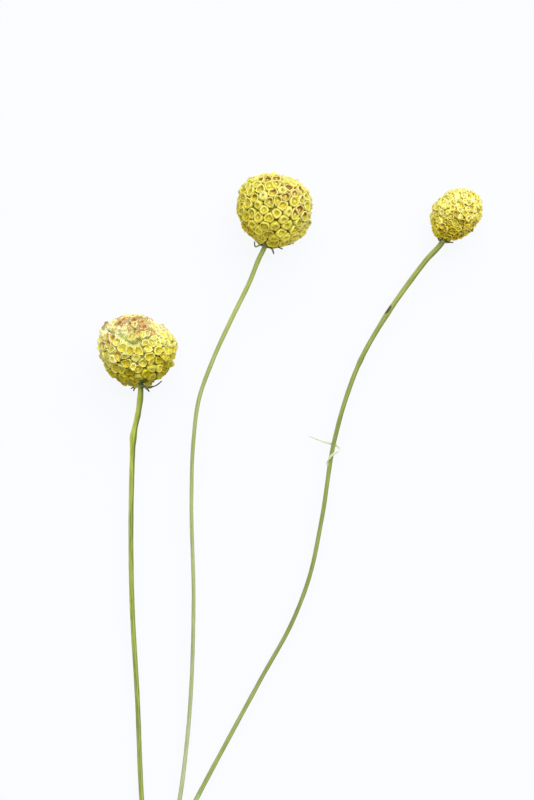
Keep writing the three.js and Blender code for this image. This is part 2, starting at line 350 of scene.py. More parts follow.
def stalk_skin(name, foot, top):
    """Living stem skin: a waxy green film over fibres that run lengthwise. It shows as fine pale
    and dark streaks along the ribs, slow changes of green, and a soft sheen. Its light and dark
    greens change from foot to top. Painted shade makes the rib grooves darker and the crests
    lighter, the seat inside the head darker, and the right side darker than the painted light of
    the left towards the head. A scar is a short line of dead brown skin."""
    material = bpy.data.materials.new(name)
    material.use_nodes = True
    tree = material.node_tree
    shader = tree.nodes["Principled BSDF"]
    skin = add_node(tree, "ShaderNodeAttribute", {"attribute_name": "skin"})
    painted_light_and_shade = add_node(tree, "ShaderNodeAttribute", {"attribute_name": "painted_light_and_shade"})
    cut = add_node(tree, "ShaderNodeAttribute", {"attribute_name": "cut"})
    streaks = add_node(
        tree,
        "ShaderNodeTexNoise",
        links={"Vector": skin.outputs["Vector"], "Scale": 1 / STREAK_WIDE, "Detail": 3.0},
    )
    patches = add_node(
        tree,
        "ShaderNodeTexNoise",
        links={"Vector": skin.outputs["Vector"], "Scale": 1 / PATCH_WIDE, "Detail": 2.0},
    )
    streak_light = add_node(
        tree, "ShaderNodeMapRange", links={0: streaks.outputs["Fac"], 1: 0.35, 2: 0.65, 3: -0.25, 4: 0.25}
    )
    patch_light = add_node(
        tree, "ShaderNodeMapRange", links={0: patches.outputs["Fac"], 1: 0.3, 2: 0.7, 3: 0.2, 4: 0.8}
    )
    ribbed = add_node(
        tree, "ShaderNodeMath", {"operation": "ADD"}, {0: painted_light_and_shade.outputs["Fac"], 1: patch_light.outputs[0]}
    )
    lightness = add_node(
        tree, "ShaderNodeMath", {"operation": "ADD"}, {0: ribbed.outputs[0], 1: streak_light.outputs[0]}
    )
    high = add_node(tree, "ShaderNodeAttribute", {"attribute_name": "high"})
    light, dark = (
        add_node(
            tree,
            "ShaderNodeMix",
            {"data_type": "RGBA"},
            {0: high.outputs["Fac"], 6: linear(low_green), 7: linear(top_green)},
        )
        for low_green, top_green in zip(foot, top)
    )
    green = add_node(
        tree,
        "ShaderNodeMix",
        {"data_type": "RGBA"},
        {0: lightness.outputs[0], 6: dark.outputs[2], 7: light.outputs[2]},
    )
    pith = add_node(
        tree,
        "ShaderNodeMix",
        {"data_type": "RGBA"},
        {0: cut.outputs["Fac"], 6: green.outputs[2], 7: linear(PITH)},
    )
    bump = add_node(
        tree,
        "ShaderNodeBump",
        links={"Height": streaks.outputs["Fac"], "Strength": 0.35, "Distance": 0.02 * MM},
    )
    scar = add_node(tree, "ShaderNodeAttribute", {"attribute_name": "scar"})
    uneven = add_node(
        tree,
        "ShaderNodeMath",
        {"operation": "MULTIPLY_ADD"},
        {0: streak_light.outputs[0], 1: scar.outputs["Fac"], 2: scar.outputs["Fac"]},
    )
    dead = add_node(
        tree, "ShaderNodeMapRange", links={0: uneven.outputs[0], 1: 0.3, 2: 0.6, 3: 0.0, 4: 0.95}
    )
    colour = add_node(
        tree,
        "ShaderNodeMix",
        {"data_type": "RGBA"},
        {0: dead.outputs[0], 6: pith.outputs[2], 7: linear(SCAR_BROWN)},
    )
    tree.links.new(colour.outputs[2], shader.inputs["Base Color"])
    tree.links.new(bump.outputs["Normal"], shader.inputs["Normal"])
    shader.inputs["Roughness"].default_value = 0.5
    shader.inputs["IOR"].default_value = 1.45
    return material


for name, stalk in STALKS.items():
    head = HEADS[name]
    base = surface(head, np.array([0, -1, 0]))
    seat = base - head["stand"] + GAP
    route = [*stalk["route"], *placed(head, [(0, -base, 0), (0, -seat, 0)])]
    length = walked(np.array(route))[-1]
    at = np.concatenate([
        np.arange(0, length - FINE_LENGTH, RING_SPACING),
        np.linspace(length - FINE_LENGTH, length, round(FINE_LENGTH / FINE_SPACING)),
    ])
    line = smooth_line(route, at)
    radius = np.interp(at / length, np.linspace(0, 1, len(stalk["radii"])), stalk["radii"])
    flare_at = length - (base - seat) + np.array([-GAP, GAP])
    flare = [*flare_at, length - SEAT_BEVEL, length]
    end = radius[-1]
    flared = np.interp(at, flare, [end, FLARE * end, SEAT_RADIUS, SEAT_RADIUS - SEAT_BEVEL])
    radius = np.where(at < flare[0], radius, flared)
    radius *= 1 + sum(share * np.sin(at * pace + start) for share, pace, start in WAVES)
    for middle, swell, run in stalk["knobs"]:
        radius += swell * np.exp(-(((line[:, 1] - middle) / run) ** 2))
    turn = np.linspace(0, 2 * np.pi, STALK_SIDES, endpoint=False)
    rib = np.cos(RIBS * turn + RIB_TWIST * at[:, None])
    ribbed = radius[:, None] * (1 + RIB_HEIGHT * rib)
    # Painted shade: darker from the head's outline into the seat.
    painted_seat_shade = np.interp(at, flare[:2], (0, SEAT_SHADE))[:, None]
    # Painted light and shade: the left side lighter and the right one darker, growing towards the head.
    shade = stalk["shade"] * (at[:, None] / length) ** SHADE_RISE * np.cos(turn)
    scar = np.zeros(rib.shape)
    if stalk["scar"]:
        near = np.exp(-(((line[:, 1] - stalk["scar"]["at"]) / SCAR_LONG) ** 2))
        scar = near[:, None] * np.maximum(np.cos(turn - np.radians(stalk["scar"]["side"])), 0)
    grid = tube(line, ribbed, ribbed, STALK_SIDES, up=(0, 0, 1))
    around = np.stack([
        np.broadcast_to(SKIN_RADIUS * np.cos(turn), rib.shape),
        np.broadcast_to(SKIN_RADIUS * np.sin(turn), rib.shape),
        np.broadcast_to(at[:, None] / SKIN_STRETCH, rib.shape),
    ], -1)
    part = {
        "points": closed(grid[None], line[0], line[-1]),
        "rings": len(at),
        "sides": STALK_SIDES,
        "values": {
            "skin": closed(around[None], (0, 0, 0), (0, 0, length / SKIN_STRETCH)),
            "painted_light_and_shade": closed((RIB_LIGHT * rib + shade - painted_seat_shade)[None], 0, 0),
            "cut": closed(np.zeros((1, *rib.shape)), 1, 0),
            "high": closed(np.broadcast_to(at[:, None] / length, (1, *rib.shape)), 0, 1),
            "scar": closed(scar[None], 0, 0),
        },
    }
    skin = stalk_skin(f"green_stem_skin_{name}", stalk["foot_skin"], stalk["top_skin"])
    make_piece(f"{name}_stalk", [part], skin, "leafy_stem")


# Bracts
# Narrow green leaflets in a ring under each head, which grow from the seat, turn back over the
# lowest florets and dry to dark tips.

# Each bract is (turn round the stalk, reach, bend, droop): the turn is 0 on the head's right and
# 90 on top, and the reach is how far up the head it goes, both in degrees. The bend and the droop
# are how far its middle and its tip stand off the head, in mm.
BRACTS = {
    "left": [
        (6, 33, 0.3, 0.05), (24, 20, 0.3, 0.2), (38, 14, 0.3, 0.9), (75, 13, 0.1, 0.1),
        (150, 12, 0.1, 0.7), (166, 15, 0.1, 0.4), (215, 30, 0, 0), (262, 24, 0.1, 0.2), (318, 28, 0, 0.1),
    ],
    "middle": [
        (2, 44, -0.3, -0.1), (12, 27, -0.25, 0.25), (30, 16, 0.1, 1.0), (60, 12, -0.1, 0),
        (120, 13, -0.2, -0.1), (166, 18, 0.6, -0.1), (222, 30, 0, 0), (270, 26, 0, 0.1), (322, 33, 0, 0),
    ],
    "right": [
        (4, 21, -0.1, 0.0), (28, 17, -0.1, -0.1), (58, 14, -0.1, -0.1), (120, 13, -0.1, -0.1),
        (172, 11, -0.15, -0.15), (235, 30, 0, 0), (300, 36, 0, 0),
    ],
}
BRACT_ROOT = 8  # degrees from the stalk at which it leaves the seat
BRACT_CLEAR = 0.25
BRACT_WIDE = 0.95
BRACT_POINTED = 0.85  # the share of its width that it loses by the tip
BRACT_THICK = 0.36
BRACT_THINNED = 0.5  # the share of its thickness that it loses by the tip
BRACT_FACING = (1, 0.6, 1)  # its flat side faces off the head, and a little away from the stalk
BLADE_MOTTLE = 0.5  # mm wide
BRACT_RINGS = 15
BRACT_SIDES = 8


def under(head, out, degrees, height):
    """A place under a head, turned that many degrees from the stalk towards the direction out,
    and that height outside the head's outline."""
    angle = np.radians(degrees)
    direction = np.sin(angle) * out - np.array([0, np.cos(angle), 0])
    return direction * (surface(head, direction) + height)


def blade_skin(name, fresh, dry, dry_from):
    """Leaf skin, matt and faintly ribbed. It dries from the tip, which shows as a change from
    green to the dry colour along the blade, with an uneven border."""
    material = bpy.data.materials.new(name)
    material.use_nodes = True
    tree = material.node_tree
    shader = tree.nodes["Principled BSDF"]
    along = add_node(tree, "ShaderNodeAttribute", {"attribute_name": "along"})
    place = add_node(tree, "ShaderNodeTexCoord")
    mottle = add_node(
        tree,
        "ShaderNodeTexNoise",
        links={"Vector": place.outputs["Object"], "Scale": 1 / (BLADE_MOTTLE * MM), "Detail": 3.0},
    )
    uneven = add_node(
        tree,
        "ShaderNodeMath",
        {"operation": "MULTIPLY_ADD"},
        {0: mottle.outputs["Fac"], 1: 0.4, 2: along.outputs["Fac"]},
    )
    dried = add_node(
        tree, "ShaderNodeMapRange", links={0: uneven.outputs[0], 1: dry_from + 0.1, 2: dry_from + 0.45}
    )
    colour = add_node(
        tree,
        "ShaderNodeMix",
        {"data_type": "RGBA"},
        {0: dried.outputs[0], 6: linear(fresh), 7: linear(dry)},
    )
    bump = add_node(
        tree,
        "ShaderNodeBump",
        links={"Height": mottle.outputs["Fac"], "Strength": 0.4, "Distance": 0.03 * MM},
    )
    tree.links.new(colour.outputs[2], shader.inputs["Base Color"])
    tree.links.new(bump.outputs["Normal"], shader.inputs["Normal"])
    shader.inputs["Roughness"].default_value = 0.6
    shader.inputs["IOR"].default_value = 1.45
    return material


bract_skin = blade_skin("drying_bract_skin", 0xC2CA90, 0x3A3820, 0.6)
for name, bracts in BRACTS.items():
    head = HEADS[name]
    parts = []
    for turn, reach, bend, droop in bracts:
        bearing = np.radians(turn)
        out = np.array([np.cos(bearing), 0, np.sin(bearing)])
        route = np.array([
            under(head, out, 0, -GAP),
            under(head, out, BRACT_ROOT, BRACT_CLEAR),
            under(head, out, (BRACT_ROOT + reach) / 2, BRACT_CLEAR + bend),
            under(head, out, reach, BRACT_CLEAR + droop),
        ])
        along = np.linspace(0, 1, BRACT_RINGS)
        line = smooth_line(route, along * walked(route)[-1])
        half_wide = BRACT_WIDE / 2 * (1 - BRACT_POINTED * along**2)
        half_thick = BRACT_THICK / 2 * (1 - BRACT_THINNED * along)
        grid = placed(head, tube(line, half_wide, half_thick, BRACT_SIDES, up=line * BRACT_FACING))
        drying = np.broadcast_to(along[:, None], (1, BRACT_RINGS, BRACT_SIDES))
        parts.append({
            "points": closed(grid[None], placed(head, line[0]), placed(head, line[-1])),
            "rings": BRACT_RINGS,
            "sides": BRACT_SIDES,
            "values": {"along": closed(drying, 0, 1)},
        })
    make_piece(f"{name}_bracts", parts, bract_skin, "leafy_stem")


# Leaves on the stalks
# A slim green leaf grows in the upper fork. On the right stalk a dried thread of a leaf winds
# once round it and hangs out to both sides.

# Across is the direction of a leaf's width. Its skin is the name of the material, the fresh and
# the dry colour, and the share of its length at which it starts to dry.
LEAVES = {
    "fork_leaf": {
        "route": [FORK_HIGH, (-19.95, -45.4, 1.7), (-17.95, -41.4, 2.2), (-15.55, -36.9, 2.3)],
        "across": (-0.87, 0.5, 0),
        "wide": 1.2,
        "thick": 0.25,
        "skin": ("fresh_leaf_skin", 0x89B061, 0xA9C27A, 0.9),
    },
    "thread_leaf": {
        "route": [
            (6.65, 18.4, 2.75),
            (6.3, 19.5, 3.1),
            (6.75, 20.6, 3.65),
            (7.45, 21.2, 3.75),
            (8.1, 21.55, 3.3),
            (8.35, 22.0, 2.7),
            (7.95, 22.5, 2.1),
            (7.2, 22.75, 1.8),
            (6.6, 22.95, 1.85),
            (5.0, 23.5, 2.1),
            (3.15, 24.2, 2.5),
        ],
        "across": (0.4, 0.85, 0.3),
        "wide": 0.5,
        "thick": 0.22,
        "skin": ("dried_thread_skin", 0xD2DA9A, 0xEEF0DA, 0.2),
    },
}
LEAF_FULL = 0.6  # the lower, the blunter its ends
LEAF_THINNED = 0.6  # the share of its thickness that it loses by the tip
LEAF_RINGS = 60
LEAF_SIDES = 12

for name, leaf in LEAVES.items():
    route = np.array(leaf["route"])
    along = np.linspace(0, 1, LEAF_RINGS)
    line = smooth_line(route, along * walked(route)[-1])
    ahead = unit(np.gradient(line, axis=0))
    slim = leaf["thick"] / 2
    half_wide = slim + (leaf["wide"] / 2 - slim) * np.sin(np.pi * along) ** LEAF_FULL
    half_thick = slim * (1 - LEAF_THINNED * along)
    grid = tube(line, half_wide, half_thick, LEAF_SIDES, up=np.cross(ahead, leaf["across"]))
    drying = np.broadcast_to(along[:, None], (1, LEAF_RINGS, LEAF_SIDES))
    part = {
        "points": closed(grid[None], line[0], line[-1]),
        "rings": LEAF_RINGS,
        "sides": LEAF_SIDES,
        "values": {"along": closed(drying, 0, 1)},
    }
    make_piece(name, [part], blade_skin(*leaf["skin"]), "leafy_stem")


# Heads of florets
# Each head is a ball of small tubes of petal tissue, packed over a round core. An open floret
# widens into a cup with a thick, five-lobed rim; a bud is a dome that is closed but for a dimple.

GOLDEN_ANGLE = np.pi * (3 - 5**0.5)
PUSH = 0.12  # how far a step of packing pushes them apart
LUMP_WIDE = 14  # degrees
MOST_RAGGED = 1.5  # times the head's own raggedness
SUNK = 0.23  # how far inside the head's outline the mouths lie, in mm
ASKEW = np.array([0.3, 0.5, 0.8])  # along no floret
FLORET_SIDES = 10
OPEN_SPREAD = 0.25
DRY_OPENS = 0.3  # how much further dried florets have opened
FACING = 0.3  # the least cosine between two neighbours whose rims meet
AHEAD = 1e-3  # how far along an arm a neighbour has to be, in mm
RIM_ROUNDING = 8.0  # the higher, the nearer the rims come to one another
LOBES = 5
LOBE_HEIGHTS = np.array([0, 0, 0.015, 0.035, 0.025, 0])  # of each ring, in pitches
LOBE_REACH = 0.5  # how far out a lobe reaches for its height
# A floret's rings, from the core to the throat. Each has its width as a share of the rim's, and
# its height over the mouth in pitches. ALONG is its place on the skin, which picks its colour.
CUP = np.array([(0.70, -0.75), (0.92, -0.34), (1.00, -0.10), (0.93, 0.04), (0.79, -0.03), (0.60, -0.15)])
BUD = np.array([(0.66, -0.75), (0.95, -0.28), (0.98, -0.13), (0.72, 0.04), (0.34, 0.07), (0.13, 0.02)])
ALONG_CUP = np.array([0, 0.3, 0.45, 0.52, 0.66, 0.88])
ALONG_BUD = np.array([0, 0.3, 0.45, 0.5, 0.54, 0.62])
INNER = np.array([0, 0, 0, 0, 0.6, 1])  # how far inside the cup each ring lies
WALL = np.array([1, 0.7, 0, 0, 0, 0])  # how far down the outside each ring lies
# The middle of a cup's floor, a bud's top and a style's tip: the heights over the mouth in
# pitches, and the places on the skin.
CUP_FLOOR, BUD_TOP, STYLE_TIP = -0.20, 0.0, -0.03
FLOOR_ALONG, TOP_ALONG, STYLE_ALONG = 1.0, 0.68, 0.50
STYLED_FROM = 0.4  # how far open a floret with a style is
TONE_SPREAD = 0.07
# Painted shade: the walls low between the florets darken with the gold.
GOLD_WALL_SHADE = 0.4  # the walls
# Painted shade: inside a cup, the side towards the head's tip is painted darker and browner.
TIP_SHADE = 0.15  # inside a cup, on the side of the head's tip
TIP_BROWN_SHADE = 0.8  # there too
ANTHER_BROWN = 0xA8905C
ANTHER_WIDE = 0.3
MOTTLE_WIDE = 0.45
CELL_WIDE = 0.6
CORE_RINGS, CORE_SIDES = 15, 24
CORE_DEPTH = 0.42  # from the mouths down to the core, in pitches
CORE_ALONG = 0.2  # its place on the florets' skin
CORE_GOLD = 0.8
# Painted shade: the core darkens towards the stalk and in the seat.
CORE_DARKER = 0.3  # at the stalk
CORE_FOOT = 0.3  # its tone in the seat
# Painted light: the core is lighter in a parting.
CORE_LIGHTER = 0.6  # in a parting

# The places on the skin at which a floret's colours are given: the foot, the wall, below the rim,
# the rim, inside the rim, the inner wall, the throat and the floor.
COLOUR_PLACES = (0, 0.3, 0.45, 0.52, 0.62, 0.72, 0.88, 1)
# What the florets of each head are like. Directions are in the head's own frame, and a pitch is
# the mean distance between two florets.
# Packing: each of the count is jostled by so many pitches, and they settle in so many steps. They
# crowd towards a side. There are none in the bare spots, each a direction and degrees round it.
# Shape: a lump of the head's outline is (bearing in degrees, height in mm). The mouths stand out
# raggedly, in mm. The florets tilt at random, and in the lower half they turn level, where the
# lengthwise part of their direction keeps that share. Rims are wavy, in pitches, and each has its
# own widest reach between two numbers of pitches. Open is how far the florets have opened, and
# how much further towards the tip. Styles is the share of the open ones that show a style.
# Colour: specks is how brown the anthers show. Dry and gold set in from one place to another on
# the way towards a side, earlier or later by the spread; gold is partly the older florets' deeper
# colour and partly painted shade towards the stalk. Tone is the lightness at the stalk, in the
# middle and at the tip, which is painted light and shade along the head, and core that of the
# core. Fresh and dried are the colours at COLOUR_PLACES.
# A parting is a gap at a direction, which runs along another and is so long and broad. Florets
# beyond it are shifted and tilt towards a side, and those before it go back the other way. It is
# a dent in the core, in mm, and painted light makes the walls in it lighter by so much.
FLORETS = {
    "left": {
        "count": 216,
        "crowd": (0.1, 0.11, 0.03),
        "jostle": 0.9,
        "settle": 6,
        "lumps": [(9, 0.35), (52, -0.3), (129, 0.35), (204, -0.25), (296, -0.35), (322, -0.25)],
        "ragged": 0.18,
        "tilt": 0.2,
        "level": 0.72,
        "bare": [((0, -1, 0.1), 20), ((0.05, -0.84, 0.54), 18)],
        "wavy": 0.06,
        "widest": (0.55, 0.95),
        "open": (0.78, 0.0),
        "styles": 0.4,
        "specks": 0.6,
        "dry": {"from": 0.3, "to": 1.15, "towards": (-0.1, 0.93, 0.1), "spread": 0.26},
        "gold": {"from": -0.9, "to": 0.6, "towards": (0.1, -0.95, 0.1), "spread": 0.15},
        "gold_colour": 0xD6CA44,
        "tone": (0.77, 1.08, 0.99),
        "core": 0.6,
        "parting": {
            "at": (-0.33, 0.50, 0.80),
            "run": (0.69, -0.42, 0.59),
            "long": 0.4,
            "broad": 0.3,
            "towards": (0.1, 0.85, -0.4),
            "shift": 0.34,
            "back": 0.1,
            "tilt": 1.0,
            "dent": 0.7,
            "painted_light": 0.3,
        },
        "fresh": (0xF4F8CC, 0xF2F6B6, 0xF8F8A8, 0xFEFEDC, 0xFAF69C, 0xEEE468, 0xDED658, 0xF4EC80),
        "dried": (0xF4F8DC, 0xF8F6D8, 0xECDDAE, 0x9E6634, 0xEAD09C, 0xD8B474, 0xB8884A, 0xA27040),
        "slot": "old_florets",
        "seed": 11,
    },
    "middle": {
        "count": 180,
        "crowd": (-0.05, 0.09, 0.0),
        "jostle": 0.8,
        "settle": 5,
        "lumps": [
            (44, 0.55), (90, -0.35), (150, 0.25), (216, -0.25), (254, -0.3), (329, 0.25), (0, -0.2),
        ],
        "ragged": 0.09,
        "tilt": 0.13,
        "level": 0.85,
        "bare": [((0, -1, 0.1), 18)],
        "wavy": 0.035,
        "widest": (0.55, 0.95),
        "open": (0.62, 0.0),
        "styles": 0.6,
        "specks": 0.6,
        "dry": {"from": 0.5, "to": 1.4, "towards": (0.25, 0.8, 0.25), "spread": 0.32},
        "gold": {"from": -0.3, "to": 1.0, "towards": (-0.2, -0.95, 0.1), "spread": 0.15},
        "gold_colour": 0xFFF690,
        "tone": (1.0, 0.92, 1.06),
        "core": 0.75,
        "parting": None,
        "fresh": (0xA8AC40, 0xC6C650, 0xE0DC60, 0xF6EE96, 0xE6DC5A, 0xD0C23C, 0xC6B834, 0xE8DC6C),
        "dried": (0xA8AC40, 0xCCC658, 0xE8DE7A, 0xF6E8A4, 0xD2B458, 0xA07A30, 0x7C5A20, 0xBC9A48),
        "slot": "full_florets",
        "seed": 5,
    },
    "right": {
        "count": 238,
        "crowd": (0.0, 0.05, 0.0),
        "jostle": 1.3,
        "settle": 4,
        "lumps": [(42, 0.25), (188, 0.15), (206, -0.2), (340, -0.15)],
        "ragged": 0.14,
        "tilt": 0.2,
        "level": 0.75,
        "bare": [((0, -1, 0), 16)],
        "wavy": 0.05,
        "widest": (0.75, 1.1),
        "open": (0.58, -0.3),
        "styles": 0.55,
        "specks": 0.5,
        "dry": {"from": 0.5, "to": 1.4, "towards": (0.45, -0.5, 0.5), "spread": 0.33},
        "gold": {"from": -0.2, "to": 0.9, "towards": (0.2, -0.95, 0.1), "spread": 0.15},
        "gold_colour": 0xE8E058,
        "tone": (1.1, 0.98, 0.95),
        "core": 1.25,
        "parting": None,
        "fresh": (0xDCC828, 0xE6D638, 0xF2E65C, 0xFCF8B4, 0xF4EA70, 0xE0CE3C, 0xC8B228, 0xFCF6B8),
        "dried": (0xCCBC34, 0xD4C63C, 0xE4D656, 0xF4EA94, 0xCEB244, 0xA0862C, 0x84701E, 0xD0BC58),
        "slot": "young_florets",
        "seed": 23,
    },
}


def packed(florets, random):
    """Unit directions of the florets and their sizes. They are spread evenly from the tip (+Y) on
    a golden-angle spiral, each shifted at random. Then each step pushes every floret away from
    the others, by a bell curve of the distance. At last all are drawn towards the crowded side,
    and a floret's size is one over the length of its drawn direction. Those in the bare spots are
    left out."""
    count = florets["count"]
    pitch = np.sqrt(4 * np.pi / count)
    height = 1 - (2 * np.arange(count) + 1) / count
    turn = GOLDEN_ANGLE * np.arange(count)
    ring = np.sqrt(1 - height**2)
    places = np.stack([ring * np.cos(turn), height, ring * np.sin(turn)], -1)
    places = unit(places + random.uniform(-0.5, 0.5, places.shape) * florets["jostle"] * pitch)
    for _ in range(florets["settle"]):
        apart = places[:, None] - places[None]
        push = np.exp(-((np.linalg.norm(apart, axis=-1, keepdims=True) / pitch) ** 2))
        places = unit(places + PUSH * (apart * push).sum(1))
    drawn = places + np.array(florets["crowd"])
    kept = np.ones(count, bool)
    for spot, angle in florets["bare"]:
        kept &= unit(drawn) @ unit(np.array(spot)) < np.cos(np.radians(angle))
    return unit(drawn)[kept], 1 / np.linalg.norm(drawn[kept], axis=-1)


def in_parting(parting, directions):
    """How deep in the parting each direction lies, from 0 to 1: a bell curve of its distance
    along the parting times one of its distance across it. Also whether it lies beyond the
    parting's middle line."""
    middle = unit(np.array(parting["at"]))
    run = unit(np.array(parting["run"]))
    offset = directions - middle
    across = offset @ np.cross(middle, run)
    along = offset @ run
    depth = np.exp(-((across / parting["broad"]) ** 2) / 2 - (along / parting["long"]) ** 2 / 2)
    return depth, across > 0


def bulge(lumps, directions):
    """How far a head stands out in each direction, in mm. It is the sum of a bell curve of the
    angle for each lump, which lies in the plane of the picture, at its degrees from the head's
    right towards its tip."""
    total = np.zeros(len(directions))
    for bearing, height in lumps:
        middle = np.array([np.cos(np.radians(bearing)), np.sin(np.radians(bearing)), 0])
        angle = np.degrees(np.arccos(np.clip(directions @ middle, -1, 1)))
        total += height * np.exp(-((angle / LUMP_WIDE) ** 2) / 2)
    return total


def rim_radii(mouths, axes, arms, widest):
    """How far each rim reaches along each of its arms. Halfway to a neighbour lies the border
    between the two, at half the squared distance over the neighbour's distance along the arm. The
    rim keeps within that and within its own widest, rounded where both are close."""
    apart = mouths[None] - mouths[:, None]
    apart -= np.einsum("ijc,ic->ij", apart, axes)[..., None] * axes[:, None]
    toward = np.einsum("ikc,ijc->ikj", arms, apart)
    facing = (axes @ axes.T > FACING)[:, None]
    border = (apart**2).sum(-1)[:, None] / (2 * np.maximum(toward, AHEAD))
    border = np.where((toward > AHEAD) & facing, border, np.inf).min(-1)
    return (border**-RIM_ROUNDING + widest[:, None] ** -RIM_ROUNDING) ** (-1 / RIM_ROUNDING)


def graded(places, grade, random):
    """How far a change has gone in each floret, from 0 to 1: it grows with the floret's place
    towards one side of the head, with a random share of its own."""
    place = places @ unit(np.array(grade["towards"])) + random.normal(0, grade["spread"], len(places))
    return np.clip((place - grade["from"]) / (grade["to"] - grade["from"]), 0, 1)


def floret_skin(name, gold, fresh, dried, specks):
    """Petal tissue, soft and a little translucent. Along each tube it goes from pale green over
    yellow to a pale, thick rim and an olive gold throat, and with age it dries to brown. Mottling
    shows its swollen cells, and brown specks in the throat are its withered anthers. Its tone is
    painted light and shade over the head, its gold is partly the older florets' deeper colour and
    partly painted shade towards the stalk, and painted shade makes the inside of a cup darker and
    browner on the side of the head's tip."""
    material = bpy.data.materials.new(name)
    material.use_nodes = True
    tree = material.node_tree
    shader = tree.nodes["Principled BSDF"]
    along = add_node(tree, "ShaderNodeAttribute", {"attribute_name": "along"})
    dry = add_node(tree, "ShaderNodeAttribute", {"attribute_name": "dry"})
    tone = add_node(tree, "ShaderNodeAttribute", {"attribute_name": "tone"})
    golden = add_node(tree, "ShaderNodeAttribute", {"attribute_name": "gold"})
    place = add_node(tree, "ShaderNodeTexCoord")
    mottle = add_node(
        tree,
        "ShaderNodeTexNoise",
        links={"Vector": place.outputs["Object"], "Scale": 1 / (MOTTLE_WIDE * MM), "Detail": 3.0},
    )
    fresh_stops = list(zip(COLOUR_PLACES, fresh))
    dried_stops = list(zip(COLOUR_PLACES, dried))
    fresh_colour = add_node(tree, "ShaderNodeValToRGB", links={0: along.outputs["Fac"]}, stops=fresh_stops)
    dried_colour = add_node(tree, "ShaderNodeValToRGB", links={0: along.outputs["Fac"]}, stops=dried_stops)
    patchy = add_node(
        tree, "ShaderNodeMapRange", links={0: mottle.outputs["Fac"], 1: 0.35, 2: 0.65, 3: -0.25, 4: 0.25}
    )
    uneven = add_node(
        tree, "ShaderNodeMath", {"operation": "ADD"}, {0: patchy.outputs[0], 1: dry.outputs["Fac"]}
    )
    dryness = add_node(tree, "ShaderNodeMapRange", links={0: uneven.outputs[0], 1: 0.35, 2: 0.7})
    aged = add_node(
        tree,
        "ShaderNodeMix",
        {"data_type": "RGBA"},
        {0: dryness.outputs[0], 6: fresh_colour.outputs[0], 7: dried_colour.outputs[0]},
    )
    deepened = add_node(
        tree,
        "ShaderNodeMix",
        {"data_type": "RGBA", "blend_type": "MULTIPLY"},
        {0: golden.outputs["Fac"], 6: aged.outputs[2], 7: linear(gold)},
    )
    anthers = add_node(
        tree,
        "ShaderNodeTexNoise",
        links={"Vector": place.outputs["Object"], "Scale": 1 / (ANTHER_WIDE * MM), "Detail": 1.0},
    )
    speck = add_node(
        tree, "ShaderNodeMapRange", links={0: anthers.outputs["Fac"], 1: 0.53, 2: 0.63, 3: 0.0, 4: specks}
    )
    in_throat = add_node(tree, "ShaderNodeMapRange", links={0: along.outputs["Fac"], 1: 0.55, 2: 0.7})
    speckled = add_node(
        tree, "ShaderNodeMath", {"operation": "MULTIPLY"}, {0: speck.outputs[0], 1: in_throat.outputs[0]}
    )
    throat = add_node(
        tree,
        "ShaderNodeMix",
        {"data_type": "RGBA", "blend_type": "MULTIPLY"},
        {0: speckled.outputs[0], 6: deepened.outputs[2], 7: linear(ANTHER_BROWN)},
    )
    cells = add_node(
        tree,
        "ShaderNodeTexNoise",
        links={
            "Vector": place.outputs["Object"],
            "Scale": 1 / (CELL_WIDE * MM),
            "Detail": 4.0,
            "Roughness": 0.65,
        },
    )
    cell_light = add_node(
        tree, "ShaderNodeMapRange", links={0: cells.outputs["Fac"], 1: 0.3, 2: 0.7, 3: 0.78, 4: 1.22}
    )
    lightness = add_node(
        tree, "ShaderNodeMath", {"operation": "MULTIPLY"}, {0: cell_light.outputs[0], 1: tone.outputs["Fac"]}
    )
    toned = add_node(
        tree,
        "ShaderNodeHueSaturation",
        links={"Value": lightness.outputs[0], "Color": throat.outputs[2]},
    )
    bump = add_node(
        tree,
        "ShaderNodeBump",
        links={"Height": mottle.outputs["Fac"], "Strength": 0.3, "Distance": 0.04 * MM},
    )
    tree.links.new(toned.outputs[0], shader.inputs["Base Color"])
    tree.links.new(bump.outputs["Normal"], shader.inputs["Normal"])
    shader.inputs["Roughness"].default_value = 0.55
    shader.inputs["IOR"].default_value = 1.4
    shader.inputs["Specular IOR Level"].default_value = 0.2
    shader.inputs["Subsurface Weight"].default_value = 0.15
    shader.inputs["Subsurface Radius"].default_value = (1.0, 0.8, 0.2)
    shader.inputs["Subsurface Scale"].default_value = 0.3 * MM
    return material


def seated(head, florets, random):
    """The florets' directions on a unit ball, their sizes, mouths in mm and axes, how far a
    parting lowers their feet and how much painted light lightens their walls in it. A mouth lies
    on the head's outline, moved out by the lump there, and along its axis by a ragged share of its
    own. A parting moves directions and axes towards its side by the depth in it, and those before
    its middle line a little the other way."""
    places, sizes = packed(florets, random)
    axes = places.copy()
    axes[:, 1] *= np.where(places[:, 1] < 0, florets["level"], 1)
    axes = unit(axes) + random.normal(0, florets["tilt"], places.shape)
    roots = places
    dent = np.zeros(len(places))
    painted_light = np.zeros(len(places))
    if florets["parting"]:
        parting = florets["parting"]
        depth, beyond = in_parting(parting, places)
        moved = depth * np.where(beyond, 1, -parting["back"])
        lean_back = moved[:, None] * unit(np.array(parting["towards"]))
        roots = unit(roots + parting["shift"] * lean_back)
        axes = axes + parting["tilt"] * lean_back
        dent = parting["dent"] * depth
        painted_light = parting["painted_light"] * depth
    axes = unit(axes)
    ragged = florets["ragged"] * np.clip(random.normal(0, 1, len(places)), -MOST_RAGGED, MOST_RAGGED)
    lump = bulge(florets["lumps"], roots)[:, None] * roots
    mouths = roots @ ball(head) + (ragged - SUNK)[:, None] * axes + lump
    return places, sizes, mouths, axes, dent, painted_light


